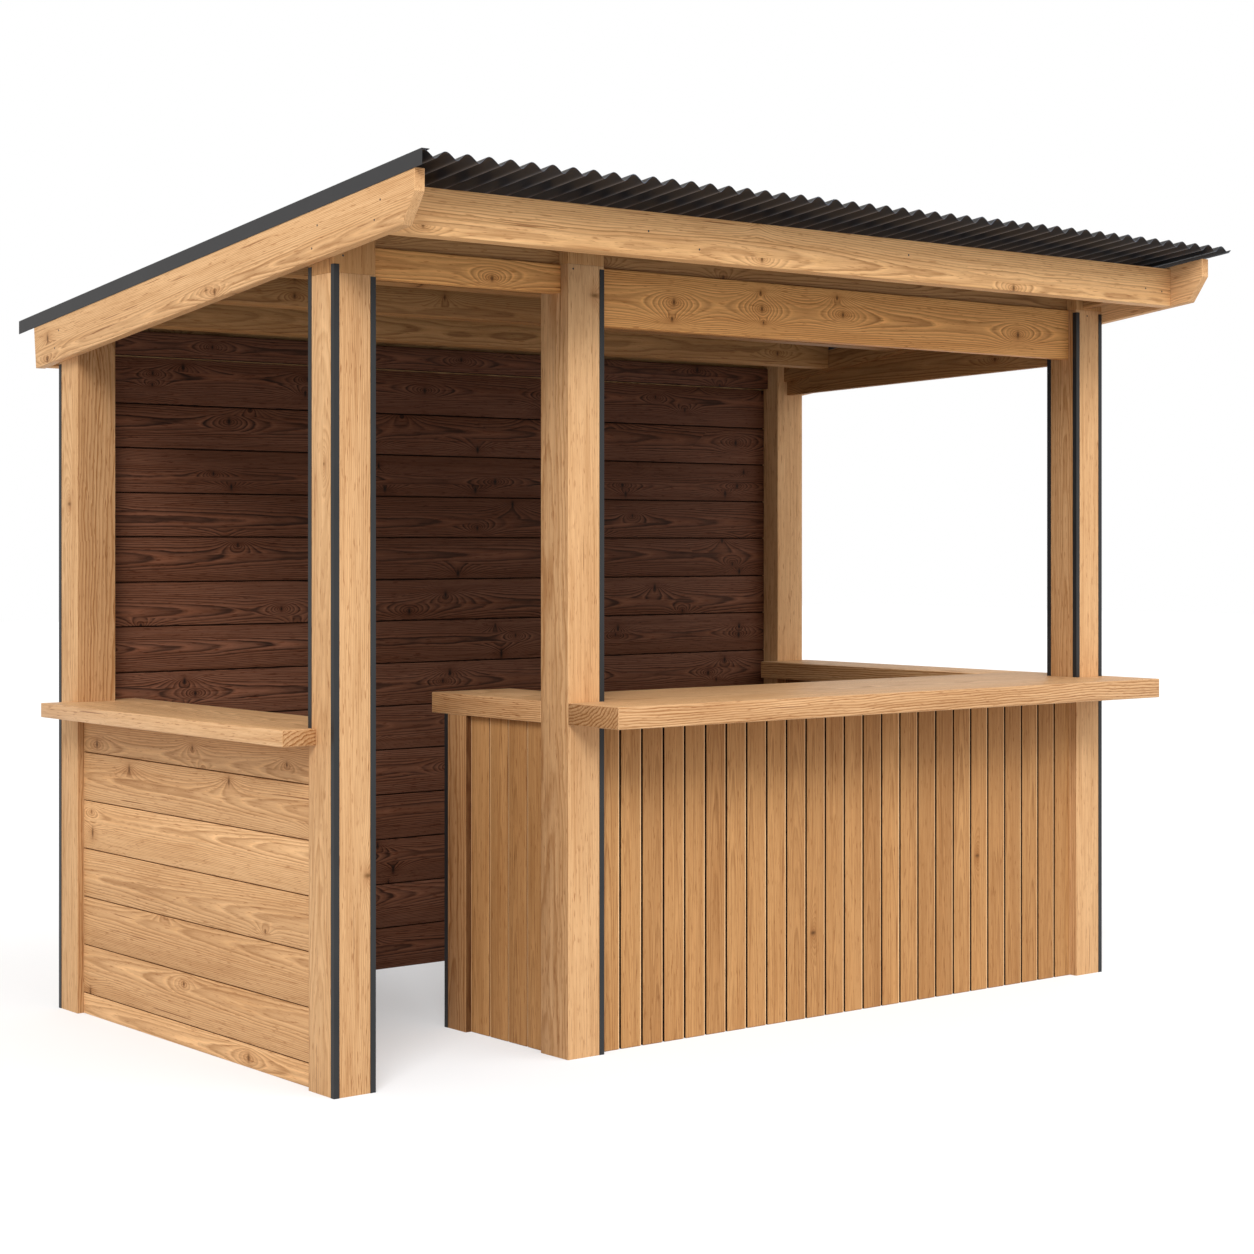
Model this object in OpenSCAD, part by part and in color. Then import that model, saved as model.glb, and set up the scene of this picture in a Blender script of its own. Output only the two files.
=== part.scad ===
// Outdoor garden bar: a single-pitch timber shelter open to the front and the
// right, with a worktop counter on the front, two counter returns, a low wall
// with a shelf on the left, a boarded back wall and a corrugated roof.
// Units are millimetres. +X runs along the front from left to right, +Y to the
// back and +Z up. Widths are drawn from the outer face of the left-hand posts,
// depths from the front face of the front posts and heights from the ground;
// the whole is then moved so that the origin is below the centre of its box.

/* [Posts] */
// Distance over the outer faces of the left and right posts
span_x = 3340; // [2400:10:4200]
// Distance over the front and back faces of the posts
span_y = 1772; // [1200:2:2600]
// Side of a square post
post_w = 140; // [90:1:200]
// Left face of the middle front post, which ends the entrance
middle_x = 843; // [700:1:1200]
// Front face of the counter end post
end_post_y = 548; // [400:1:800]
// Side of the counter end post
end_post_w = 120; // [80:1:140]
// Depth of the middle and right front posts' heads, from the eave line down
head_h = 103; // [97:1:300]
// Depth of the left front post's head, from the eave line down
head_left_h = 189; // [155:1:400]

/* [Corner strips] */
// Length of each leg of a corner strip
strip_leg = 18; // [10:1:30]
// Thickness of a corner strip
strip_t = 3; // [2:0.5:5]
// How far a corner strip stands proud of the post
strip_proud = 1; // [0:0.5:2]
// Distance between the top of a strip and the head above it
strip_short = 10; // [0:1:30]
// Distance between the top of an inner strip and the left front post's head
strip_left_short = 4; // [0:1:30]
// Distance between the top of a strip and the barge board above it
strip_under_barge = 4; // [2:1:20]

/* [Roof] */
// Pitch of the roof, which falls to the back, in degrees
roof_angle = 6.53; // [3:0.01:12]
// Height of the eave line, the barge boards' top edge, at the posts' front face
roof_z = 2558; // [2300:1:2800]
// Distance between the barge boards' top edge and the sheets' troughs
sheet_lift = 18; // [5:1:60]
// Front end of the barge boards, before the posts
barge_front = 463; // [200:1:700]
// Distance by which the barge boards pass the back posts
barge_over = 128; // [50:1:400]
// Upright depth of the barge boards
barge_h = 144; // [100:1:200]
// Thickness of the barge boards
barge_t = 34; // [20:1:50]
// Upright length of the cut at the front end of a barge board
barge_nose = 63; // [20:1:100]
// Length of the slanting cut below it
barge_cut = 62; // [20:1:120]
// Front face of the front fascia board, before the posts
fascia_front = 322; // [150:1:450]
// Upright distance between the barge boards' and the fascia boards' top edges
fascia_drop = 9; // [0:1:30]
// Upright height of the fascia boards
fascia_h = 134; // [90:1:200]
// Thickness of the fascia boards
fascia_t = 40; // [20:1:60]
// Distance between the back fascia board and the end of the barge boards
fascia_inset = 24; // [0:1:80]
// Upright distance between the barge boards' top edge and the rafters' underside
rafter_low = 95; // [60:1:140]
// Thickness of the rafters
rafter_t = 48; // [30:1:70]
// Distance between the posts' outer face and the rafters
rafter_in = 55; // [20:1:90]
// Upright distance between the barge boards' top edge and the purlins' underside
purlin_low = 83; // [50:1:94]
// Thickness of the purlins
purlin_t = 45; // [30:1:70]
// Front face of the first purlin, behind the front face of the posts
purlin_y = 510; // [300:1:700]
// Front face of the last purlin, before the front face of the back posts
purlin_last = 272; // [100:1:500]
// Number of purlins
purlin_n = 3; // [2:1:5]

/* [Roof sheets] */
// Length of one wave
wave_pitch = 73; // [60:0.5:90]
// Height of one wave from trough to crest
wave_h = 22; // [12:0.5:30]
// Thickness of a sheet, measured upright
sheet_t = 1.2; // [0.8:0.1:2]
// Straight facets in one wave
wave_facets = 8; // [6:2:16]
// Waves covered by one sheet, without its side lap
sheet_waves = 10; // [6:1:14]
// Distance of the first crest from the left barge board's outer face
crest_in = 6; // [0:0.5:40]
// Front edge of the sheets, before the posts
sheet_front = 500; // [350:1:800]
// Distance by which the sheets pass the back posts
sheet_tail = 243; // [150:1:500]
// Distance by which the sheets pass the right barge board
sheet_over = 83; // [20:1:150]
// Thickness of the verge flashing
flash_t = 2; // [1:0.5:4]
// Distance by which the flashing laps the barge board
flash_lap = 2; // [2:1:30]
// Width of the flashing's top leg
flash_w = 26; // [14:1:60]

/* [Headers] */
// Recess of the headers behind the front face of the posts
header_in = 37; // [10:1:60]
// Thickness of the headers
header_t = 45; // [30:1:70]
// Height of the header over the entrance
entrance_h = 89; // [60:1:200]
// Height of the header over the counter
serving_h = 181; // [90:1:260]
// Depth of the plates above the headers, from the eave line down
plate_h = 103; // [60:1:160]
// Distance by which the plates lie behind the headers' front
plate_in = 9; // [0:1:30]
// Height of the infill board under the right rafter at its back end
infill_h = 57; // [15:1:90]
// Rise of its lower edge from the back end to the front end
infill_rise = 42; // [0:1:100]
// Thickness of the infill board
infill_t = 30; // [20:1:45]
// Distance by which the infill board lies behind the rafter's inner face
infill_in = 16; // [0:1:40]

/* [Worktop] */
// Height of the worktop
top_z = 1100; // [900:1:1200]
// Thickness of the worktop
top_t = 68; // [30:1:90]
// Overhang of the worktop before the posts
top_front = 249; // [100:1:400]
// Width of the worktop's front slab from its front to its back edge
top_w = 647; // [400:1:900]
// Overhang of the worktop past the right posts
top_over = 27; // [0:1:80]
// Inner edge of the right return, measured from the right posts' outer face
return_right_w = 235; // [180:1:500]
// Width of the left return
return_left_w = 322; // [150:1:500]
// Distance by which the left return passes the counter end post
return_left_over = 77; // [10:1:200]
// Gap between the worktop and the posts that pass through it
top_gap = 1; // [1:0.5:4]

/* [Counter] */
// Recess of the front boards behind the posts
front_in = 28; // [10:1:60]
// Number of boards on the front
front_boards = 25; // [10:1:40]
// Recess of the boards on the returns
return_in = 20; // [10:1:60]
// Number of boards on the left return
left_boards = 4; // [2:1:8]
// Number of boards on the right return
right_boards = 17; // [8:1:24]
// Thickness of the boards
board_t = 28; // [16:1:40]
// Width of the gap that shows between two boards
gap_w = 6; // [2:0.5:12]
// Width of the gap between two boards of the left return
left_gap_w = 2; // [1:0.5:12]
// Depth of that gap
gap_d = 14; // [4:1:20]
// Size of the bevel at the edges of a board
bevel = 2; // [0:0.5:5]
// Thickness of the rails behind the boards
rail_t = 45; // [20:1:60]
// Height of the rails behind the boards
rail_h = 70; // [40:1:120]
// Distance between the lower rail and the ground
rail_z = 20; // [5:1:80]

/* [Low wall and shelf] */
// Height of the shelf
shelf_z = 1055; // [900:1:1200]
// Thickness of the shelf
shelf_t = 48; // [25:1:80]
// Distance by which the shelf passes the left posts' outer face
shelf_out = 114; // [50:1:250]
// Distance by which the shelf reaches inside that face
shelf_in = 260; // [160:1:400]
// Distance by which the outer part passes the inner faces of the posts
shelf_ear = 43; // [10:1:100]
// Size of the slanting cut at the shelf's inner front corner
shelf_cut = 60; // [10:1:120]
// Recess of the wall's boards behind the left posts
wall_in = 22; // [19:1:60]
// Thickness of the wall's boards
wall_t = 22; // [16:1:40]
// Height of the lowest joint between two boards
wall_first = 71; // [20:1:150]
// Height of one board
wall_pitch = 163; // [90:1:220]
// Width of the gap that shows between two boards of a wall
wall_gap_w = 3; // [1:0.5:8]
// Depth of that gap
wall_gap_d = 7; // [3:1:12]

/* [Back wall] */
// Recess of the lining behind the front face of the back posts
lining_in = 85; // [40:1:110]
// Thickness of the lining boards
lining_t = 18; // [12:1:30]
// Gap between the lining's top edge and the top rail
lining_gap = 6; // [0:1:30]
// Height of one lining board
lining_pitch = 154; // [90:1:220]
// Height of the top rail
rail_top_h = 83; // [40:1:160]
// Depth of the plate above the top rail, from the eave line down
rail_top_drop = 31; // [10:1:200]
// Distance by which the top rail stands before the lining
rail_top_out = 25; // [5:1:50]
// Recess of the outer boards behind the back posts
back_in = 22; // [10:1:60]

/* [Hidden] */
right_x = span_x - post_w;
back_y = span_y - post_w;
under_top = top_z - top_t;
under_shelf = shelf_z - shelf_t;
rail_back = front_in + board_t + rail_t;
lining_y = back_y + lining_in;
head_z = roof_z - head_h;
head_left_z = roof_z - head_left_h;
plate_z = roof_z - plate_h;
entrance_z = plate_z - entrance_h;
serving_z = plate_z - serving_h;
barge_back = span_y + barge_over;
sheet_back = span_y + sheet_tail;
top_back = top_w - top_front;
return_left_back = end_post_y + end_post_w + return_left_over;
purlin_step = (back_y - purlin_last - purlin_y) / (purlin_n - 1);
outer_y = span_y - back_in;
back_board_t = outer_y - lining_y - lining_t;
fascia_back_y = barge_back - fascia_inset - fascia_t;
rafter_y0 = fascia_t - fascia_front;
sheet_left = -barge_t;
sheet_right = span_x + barge_t + sheet_over;
sheet_w = sheet_waves * wave_pitch;
sheet_n = ceil((sheet_right - sheet_left) / sheet_w);
infill_z = eave(back_y) - rafter_low - infill_h;
rail_top_high = eave(lining_y) - rail_top_drop;
rail_top_low = rail_top_high - rail_top_h;
lining_top = rail_top_low - lining_gap;
past = 20;
crest_lift = sheet_lift + wave_h + sheet_t;
origin_x = (sheet_right - shelf_out) / 2;
origin_y = (sheet_back - sheet_front + (wave_h + sheet_t) * sin(roof_angle)) / 2;
wood = [0.76, 0.57, 0.36];
wood_light = [0.83, 0.65, 0.43];
wood_dark = [0.27, 0.17, 0.13];
metal_grey = [0.20, 0.21, 0.22];
metal_black = [0.13, 0.13, 0.14];

// Shared shapes

// Height of the eave line at the depth y.
function eave(y) = roof_z - y * tan(roof_angle);

// Moves a piece from the drawing's corner to the part's own origin.
module placed() {
    translate([-origin_x, -origin_y, 0]) children();
}

// Block between two corners.
module block(low, high) {
    translate(low) cube([high[0] - low[0], high[1] - low[1], high[2] - low[2]]);
}

// Upright profile in Y and Z, drawn out along X.
module side_profile(x0, x1, points) {
    translate([x0, 0, 0])
        rotate([90, 0, 90])
            linear_extrude(x1 - x0)
                polygon(points);
}

// Board along the roof slope with upright faces: low and high are measured
// from the eave line.
module sloping(x0, x1, y0, y1, low, high) {
    side_profile(x0, x1, [
        [y0, eave(y0) + low],
        [y1, eave(y1) + low],
        [y1, eave(y1) + high],
        [y0, eave(y0) + high]
    ]);
}

// Board with a level underside and a top cut to the slope.
module cut_to_slope(x0, x1, y0, y1, z, high) {
    side_profile(x0, x1, [
        [y0, z],
        [y1, z],
        [y1, eave(y1) + high],
        [y0, eave(y0) + high]
    ]);
}

// Outline of a boarded face: length along X, thickness along -Y from the face
// at y = 0, with a gap between every two boards. starts holds the joints.
module boarded(length, thick, joints, gap, deep) {
    face = [for (j = joints) each [
        [j - gap / 2 - bevel, 0],
        [j - gap / 2, -bevel],
        [j - gap / 2, -deep],
        [j + gap / 2, -deep],
        [j + gap / 2, -bevel],
        [j + gap / 2 + bevel, 0]
    ]];
    polygon(concat([[0, 0]], face, [[length, 0], [length, -thick], [0, -thick]]));
}

// Joints of a face with equal boards.
function even_joints(length, count) = [for (i = [1 : count - 1]) i * length / count];

// Joints of a face whose boards are counted up from the first joint.
function rising_joints(first, pitch, top) = [for (z = [first : pitch : top - pitch / 4]) z];

// Corner strip: an angle around one corner of a post. corner is [0 or 1, 0 or 1].
module strip(x, y, w, corner, z0, z1) {
    sx = corner[0] == 0 ? 1 : -1;
    sy = corner[1] == 0 ? 1 : -1;
    cx = corner[0] == 0 ? x - strip_proud : x + w + strip_proud;
    cy = corner[1] == 0 ? y - strip_proud : y + w + strip_proud;
    translate([cx, cy, z0])
        linear_extrude(z1 - z0)
            polygon([
                [0, 0],
                [sx * strip_leg, 0],
                [sx * strip_leg, sy * strip_t],
                [sx * strip_t, sy * strip_t],
                [sx * strip_t, sy * strip_leg],
                [0, sy * strip_leg]
            ]);
}

// Post with a rebate for each of its corner strips. strips holds the corner, the
// foot and the top of each.
module post(x, y, w, z, strips) {
    difference() {
        block([x, y, 0], [x + w, y + w, z]);
        for (s = strips)
            rebate(x, y, w, s[0], s[1] > 0 ? s[1] : -past, s[2] < z ? s[2] : z + past);
    }
}

// The corner strips of a post, from the same list.
module strips_on(x, y, w, strips) {
    for (s = strips)
        strip(x, y, w, s[0], s[1], s[2]);
}

// Space taken by a corner strip in a post.
module rebate(x, y, w, corner, z0, z1) {
    deep = strip_t - strip_proud;
    leg = strip_leg - strip_proud;
    a = corner[0] == 0 ? [x - past, x + deep] : [x + w - deep, x + w + past];
    b = corner[0] == 0 ? [x - past, x + leg] : [x + w - leg, x + w + past];
    c = corner[1] == 0 ? [y - past, y + deep] : [y + w - deep, y + w + past];
    d = corner[1] == 0 ? [y - past, y + leg] : [y + w - leg, y + w + past];
    block([a[0], d[0], z0], [a[1], d[1], z1]);
    block([b[0], c[0], z0], [b[1], c[1], z1]);
}

// Top of a post that forks around a rafter.
module fork(x, y, z, rafter_x) {
    difference() {
        cut_to_slope(x, x + post_w, y, y + post_w, z, sheet_lift);
        sloping(rafter_x, rafter_x + rafter_t, y - past, y + post_w + past, -rafter_low, sheet_lift + past);
    }
}

rafter_left_x = rafter_in;
rafter_right_x = span_x - rafter_in - rafter_t;

// Group: posts, their heads and corner strips

left_barge_top = eave(post_w) - barge_h - strip_under_barge;
back_barge_top = eave(span_y) - barge_h - strip_under_barge;
left_strip_top = head_left_z - strip_left_short;
strip_top = head_z - strip_short;

// Corner, foot and top of each strip. The shelf and the worktop cut some short.
strips_left = [
    [[0, 0], 0, left_barge_top],
    [[1, 0], 0, left_strip_top],
    [[0, 1], shelf_z, left_barge_top],
    [[1, 1], shelf_z, left_strip_top]
];
strips_middle = [[[1, 0], 0, strip_top], [[1, 1], 0, strip_top]];
strips_right = [
    [[0, 0], top_z, strip_top],
    [[1, 0], 0, strip_top],
    [[0, 1], top_z, strip_top],
    [[1, 1], 0, strip_top]
];
strips_end = [[[0, 1], 0, under_top]];

module post_front_left() {
    color(wood)
        placed() post(0, 0, post_w, head_left_z, strips_left);
}

module post_front_middle() {
    color(wood)
        placed() post(middle_x, 0, post_w, head_z, strips_middle);
}

module post_front_right() {
    color(wood)
        placed() post(right_x, 0, post_w, head_z, strips_right);
}

// The back posts run up beside the rafters, which lie in a fork at their top.
module post_back_left() {
    color(wood)
        placed() difference() {
            cut_to_slope(0, post_w, back_y, span_y, 0, sheet_lift);
            sloping(rafter_left_x, rafter_left_x + rafter_t, back_y - past, span_y + past,
                -rafter_low, sheet_lift + past);
            rebate(0, back_y, post_w, [0, 1], -past, back_barge_top);
        }
}

module post_back_right() {
    color(wood)
        placed() difference() {
            cut_to_slope(right_x, span_x, back_y, span_y, 0, sheet_lift);
            sloping(rafter_right_x, rafter_right_x + rafter_t, back_y - past, span_y + past,
                -rafter_low, sheet_lift + past);
            rebate(right_x, back_y, post_w, [1, 1], -past, back_barge_top);
        }
}

module post_counter_end() {
    color(wood)
        placed() post(middle_x, end_post_y, end_post_w, under_top, strips_end);
}

module post_heads() {
    color(wood)
        placed() {
            difference() {
                fork(0, 0, head_left_z, rafter_left_x);
                rebate(0, 0, post_w, [0, 0], head_left_z - past, left_barge_top);
                rebate(0, 0, post_w, [0, 1], head_left_z - past, left_barge_top);
            }
            cut_to_slope(middle_x, middle_x + post_w, 0, post_w, head_z, sheet_lift);
            fork(right_x, 0, head_z, rafter_right_x);
        }
}

module strips_front_left() {
    color(metal_grey)
        placed() strips_on(0, 0, post_w, strips_left);
}

module strips_front_middle() {
    color(metal_grey)
        placed() strips_on(middle_x, 0, post_w, strips_middle);
}

module strips_front_right() {
    color(metal_grey)
        placed() strips_on(right_x, 0, post_w, strips_right);
}

module strips_back() {
    color(metal_grey)
        placed() {
            strip(0, back_y, post_w, [0, 1], 0, back_barge_top);
            strip(right_x, back_y, post_w, [1, 1], 0, back_barge_top);
            strips_on(middle_x, end_post_y, end_post_w, strips_end);
        }
}

// Group: headers and plates

module header_entrance() {
    color(wood)
        placed() block([post_w, header_in, entrance_z], [middle_x, header_in + header_t, plate_z]);
}

module header_serving() {
    color(wood)
        placed() block([middle_x + post_w, header_in, serving_z], [right_x, header_in + header_t, plate_z]);
}

module upper_plates() {
    y0 = header_in + plate_in;
    color(wood)
        placed() {
            cut_to_slope(post_w, middle_x, y0, y0 + header_t, plate_z, sheet_lift);
            cut_to_slope(middle_x + post_w, right_x, y0, y0 + header_t, plate_z, sheet_lift);
        }
}

module back_plate() {
    color(wood)
        placed() cut_to_slope(post_w, right_x, lining_y, outer_y, rail_top_high, sheet_lift);
}

// Board that closes the wedge between the right rafter and a line that falls less.
module side_infill() {
    x1 = rafter_right_x + infill_in + infill_t;
    color(wood)
        placed() side_profile(rafter_right_x + infill_in, x1, [
            [post_w, infill_z + infill_rise],
            [back_y, infill_z],
            [back_y, eave(back_y) - rafter_low],
            [post_w, eave(post_w) - rafter_low]
        ]);
}

// Group: roof frame

// Board along each side of the roof: upright cut at the front, slanting cut
// below it, and a square cut at the back.
module barge(x) {
    square_cut = barge_h * sin(roof_angle) * cos(roof_angle);
    side_profile(x, x + barge_t, [
        [-barge_front, eave(-barge_front)],
        [-barge_front, eave(-barge_front) - barge_nose],
        [-barge_front + barge_cut, eave(-barge_front + barge_cut) - barge_h],
        [barge_back - square_cut, eave(barge_back - square_cut) - barge_h],
        [barge_back, eave(barge_back)]
    ]);
}

module barge_left() {
    color(wood_light) placed() barge(-barge_t);
}

module barge_right() {
    color(wood_light) placed() barge(span_x);
}

module fascia_board_front() {
    color(wood_light)
        placed() sloping(0, span_x, -fascia_front, rafter_y0, -fascia_drop - fascia_h, -fascia_drop);
}

module fascia_board_back() {
    color(wood)
        placed() sloping(0, span_x, fascia_back_y, fascia_back_y + fascia_t,
            -fascia_drop - fascia_h, -fascia_drop);
}

module rafters() {
    color(wood)
        placed()
            for (x = [rafter_left_x, rafter_right_x])
                sloping(x, x + rafter_t, rafter_y0, fascia_back_y, -rafter_low, -fascia_drop);
}

module purlins() {
    color(wood)
        placed()
            for (i = [0 : purlin_n - 1])
                sloping(rafter_left_x + rafter_t, rafter_right_x,
                    purlin_y + i * purlin_step, purlin_y + i * purlin_step + purlin_t,
                    -purlin_low, sheet_lift);
}

// Group: roof covering

// Height of the sheet's underside at x, with its crests at whole waves from
// the first crest.
first_crest = sheet_left + crest_in;
function wave(x) = wave_h / 2 * (1 + cos(360 * (x - first_crest) / wave_pitch));

// One sheet from x0 to x1, raised by its place in the side lap.
module sheet(x0, x1, raised) {
    step = wave_pitch / wave_facets;
    n = round((x1 - x0) / step);
    xs = [for (i = [0 : n]) x0 + (x1 - x0) * i / n];
    run = (sheet_back + sheet_front) / cos(roof_angle);
    translate([0, -sheet_front, eave(-sheet_front) + sheet_lift + raised])
        rotate([-roof_angle, 0, 0])
            rotate([90, 0, 180])
                mirror([1, 0, 0])
                    linear_extrude(run)
                        polygon(concat(
                            [for (x = xs) [x, wave(x)]],
                            [for (i = [n : -1 : 0]) [xs[i], wave(xs[i]) + sheet_t]]
                        ));
}

function sheet_start(i) = sheet_left + i * sheet_w;
function sheet_end(i) = min(sheet_right, sheet_start(i + 1) + wave_pitch);

module roof_sheets_under() {
    color(metal_black)
        placed()
            for (i = [0 : 2 : sheet_n - 1])
                sheet(sheet_start(i), sheet_end(i), 0);
}

module roof_sheets_over() {
    color(metal_black)
        placed()
            for (i = [1 : 2 : sheet_n - 1])
                sheet(sheet_start(i), sheet_end(i), sheet_t);
}

// Angle along the left edge of the roof: its upright leg laps the barge board
// and its top leg lies on the first crest.
module verge_flashing() {
    x0 = -barge_t - flash_t;
    color(metal_grey)
        placed() {
            sloping(x0, -barge_t, -sheet_front, sheet_back, -flash_lap, crest_lift + flash_t);
            sloping(-barge_t, x0 + flash_w, -sheet_front, sheet_back, crest_lift, crest_lift + flash_t);
        }
}

// Group: worktop

// Front slab, notched at the middle post and the left return and with a hole
// for the right front post.
module worktop_front() {
    x1 = span_x + top_over;
    notch_x = middle_x + post_w + top_gap;
    joint_x = middle_x + return_left_w;
    color(wood_light)
        placed()
            translate([0, 0, under_top])
                linear_extrude(top_t)
                    difference() {
                        polygon([
                            [middle_x, -top_front],
                            [x1, -top_front],
                            [x1, top_back],
                            [joint_x, top_back],
                            [joint_x, post_w + top_gap],
                            [notch_x, post_w + top_gap],
                            [notch_x, -top_gap],
                            [middle_x, -top_gap]
                        ]);
                        translate([right_x - top_gap, -top_gap])
                            square(post_w + 2 * top_gap);
                    }
}

module worktop_return_left() {
    color(wood_light)
        placed() block([middle_x, post_w + top_gap, under_top],
            [middle_x + return_left_w, return_left_back, top_z]);
}

module worktop_return_right() {
    color(wood_light)
        placed() block([span_x - return_right_w, top_back, under_top],
            [span_x + top_over, back_y, top_z]);
}

// Group: counter below the worktop

module counter_cladding_front() {
    length = right_x - middle_x - post_w;
    color(wood)
        placed()
            translate([middle_x + post_w, front_in, 0])
                linear_extrude(under_top)
                    mirror([0, 1])
                        boarded(length, board_t, even_joints(length, front_boards), gap_w, gap_d);
}

module counter_cladding_left() {
    length = end_post_y - post_w;
    color(wood)
        placed()
            translate([middle_x + return_in, post_w, 0])
                linear_extrude(under_top)
                    rotate(90)
                        boarded(length, board_t, even_joints(length, left_boards), left_gap_w, wall_gap_d);
}

module counter_cladding_right() {
    length = back_y - post_w;
    color(wood)
        placed()
            translate([span_x - return_in, post_w, 0])
                linear_extrude(under_top)
                    mirror([1, 0])
                        rotate(90)
                            boarded(length, board_t, even_joints(length, right_boards), gap_w, gap_d);
}

// Lower and upper rail behind the boards of each counter side.
module counter_rails() {
    left_x = middle_x + return_in + board_t;
    right_x1 = span_x - return_in - board_t;
    color(wood)
        placed()
            for (z = [rail_z, under_top - rail_h]) {
                block([middle_x + post_w, front_in + board_t, z], [right_x, rail_back, z + rail_h]);
                block([left_x, post_w + strip_proud, z], [left_x + rail_t, end_post_y, z + rail_h]);
                block([right_x1 - rail_t, post_w + strip_proud, z], [right_x1, back_y, z + rail_h]);
            }
}

// Group: low wall and shelf on the left

module left_wall_boards() {
    joints = rising_joints(wall_first, wall_pitch, under_shelf);
    color(wood)
        placed()
            translate([wall_in, back_y, 0])
                rotate([90, 0, 0])
                    linear_extrude(back_y - post_w)
                        rotate(90)
                            boarded(under_shelf, wall_t, joints, wall_gap_w, wall_gap_d);
}

module left_wall_rails() {
    x0 = wall_in + wall_t;
    color(wood)
        placed()
            for (z = [rail_z, under_shelf - rail_h])
                block([x0, post_w, z], [x0 + rail_t, back_y, z + rail_h]);
}

module side_shelf() {
    color(wood_light)
        placed()
            translate([0, 0, under_shelf])
                linear_extrude(shelf_t)
                    polygon([
                        [-shelf_out, post_w - shelf_ear],
                        [0, post_w - shelf_ear],
                        [0, post_w],
                        [shelf_in - shelf_cut, post_w],
                        [shelf_in, post_w + shelf_cut],
                        [shelf_in, lining_y],
                        [post_w, lining_y],
                        [post_w, back_y],
                        [0, back_y],
                        [0, back_y + shelf_ear],
                        [-shelf_out, back_y + shelf_ear]
                    ]);
}

// Group: back wall

// Outer boards, drawn like the low wall's.
module back_wall_boards() {
    joints = rising_joints(wall_first, wall_pitch, rail_top_high);
    color(wood)
        placed()
            translate([post_w, outer_y, 0])
                rotate([0, 0, -90])
                    rotate([90, 0, 0])
                        mirror([0, 0, 1])
                            linear_extrude(right_x - post_w)
                                rotate(90)
                                    boarded(rail_top_high, back_board_t, joints, wall_gap_w, wall_gap_d);
}

// Dark lining on the inner side, its joints counted down from the top.
module back_wall_lining() {
    first = lining_top - floor(lining_top / lining_pitch) * lining_pitch;
    joints = rising_joints(first, lining_pitch, lining_top);
    color(wood_dark)
        placed()
            translate([post_w, lining_y, 0])
                rotate([0, 0, 90])
                    rotate([90, 0, 0])
                        linear_extrude(right_x - post_w)
                            rotate(90)
                                boarded(lining_top, lining_t, joints, wall_gap_w, wall_gap_d);
}

module back_wall_top_rail() {
    color(wood_dark)
        placed() block([post_w, lining_y - rail_top_out, rail_top_low],
            [right_x, lining_y + lining_t, rail_top_high]);
}

post_front_left();
post_front_middle();
post_front_right();
post_back_left();
post_back_right();
post_counter_end();
post_heads();
strips_front_left();
strips_front_middle();
strips_front_right();
strips_back();
header_entrance();
header_serving();
upper_plates();
back_plate();
side_infill();
barge_left();
barge_right();
fascia_board_front();
fascia_board_back();
rafters();
purlins();
roof_sheets_under();
roof_sheets_over();
verge_flashing();
worktop_front();
worktop_return_left();
worktop_return_right();
counter_cladding_front();
counter_cladding_left();
counter_cladding_right();
counter_rails();
left_wall_boards();
left_wall_rails();
side_shelf();
back_wall_boards();
back_wall_lining();
back_wall_top_rail();
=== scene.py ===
"""Looks of an outdoor garden bar, laid out as an add-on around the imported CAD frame."""

import math

import bmesh
import bpy
import numpy as np
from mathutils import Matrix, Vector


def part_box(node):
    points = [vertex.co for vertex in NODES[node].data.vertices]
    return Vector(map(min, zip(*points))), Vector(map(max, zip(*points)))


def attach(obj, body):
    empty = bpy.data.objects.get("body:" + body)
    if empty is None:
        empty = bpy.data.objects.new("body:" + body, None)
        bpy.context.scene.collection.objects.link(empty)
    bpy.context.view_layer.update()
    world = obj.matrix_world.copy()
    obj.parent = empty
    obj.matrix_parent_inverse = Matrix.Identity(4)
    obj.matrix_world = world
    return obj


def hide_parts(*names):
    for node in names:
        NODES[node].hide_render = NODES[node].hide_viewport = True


bl_info = {
    "name": "Garden bar",
    "version": (1, 0, 0),
    "blender": (4, 5, 0),
    "location": "View3D > Sidebar > Garden bar",
    "description": "Builds the boards, worktops, roof and finishes of an outdoor garden bar",
    "category": "Object",
}

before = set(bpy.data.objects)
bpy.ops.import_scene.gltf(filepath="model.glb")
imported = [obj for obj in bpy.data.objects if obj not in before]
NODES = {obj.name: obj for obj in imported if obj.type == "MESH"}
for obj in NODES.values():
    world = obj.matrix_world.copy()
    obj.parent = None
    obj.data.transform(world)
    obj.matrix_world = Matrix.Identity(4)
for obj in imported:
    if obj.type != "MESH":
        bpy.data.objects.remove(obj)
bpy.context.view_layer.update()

MM = 0.001
IMAGE = 1254
TWO_PI = 2 * math.pi

# The front left post's outer corner, from which the camera is placed.
LEFT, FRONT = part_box("post_front_left")[0].xy

# The roof: its fall from front to back, the waves one sheet covers without its side lap,
# the straight steps in a wave, and the first crest from the sheets' left edge.
ROOF_ANGLE = math.radians(6.53)
SHEET_WAVES = 10
WAVE_STEPS = 20
FIRST_CREST = 6 * MM

# Boards: how many, the joints of the light walls, and the depth of the gaps.
FRONT_BOARDS, LEFT_BOARDS, RIGHT_BOARDS = 25, 4, 17
LEFT_GAP = 5 * MM
WALL_FIRST_JOINT, WALL_PITCH = 0.071, 0.163
COUNTER_GAP_DEPTH, LEFT_GAP_DEPTH, WALL_GAP_DEPTH = 14 * MM, 9 * MM, 7 * MM
# One rounding of each counter board is wider by this, to carry a painted highlight.
HIGHLIGHT_WIDENING = 3 * MM

# Faces round a board's section, in the order that rounded_section gives them.
SECTION_FACES = 12
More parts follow.
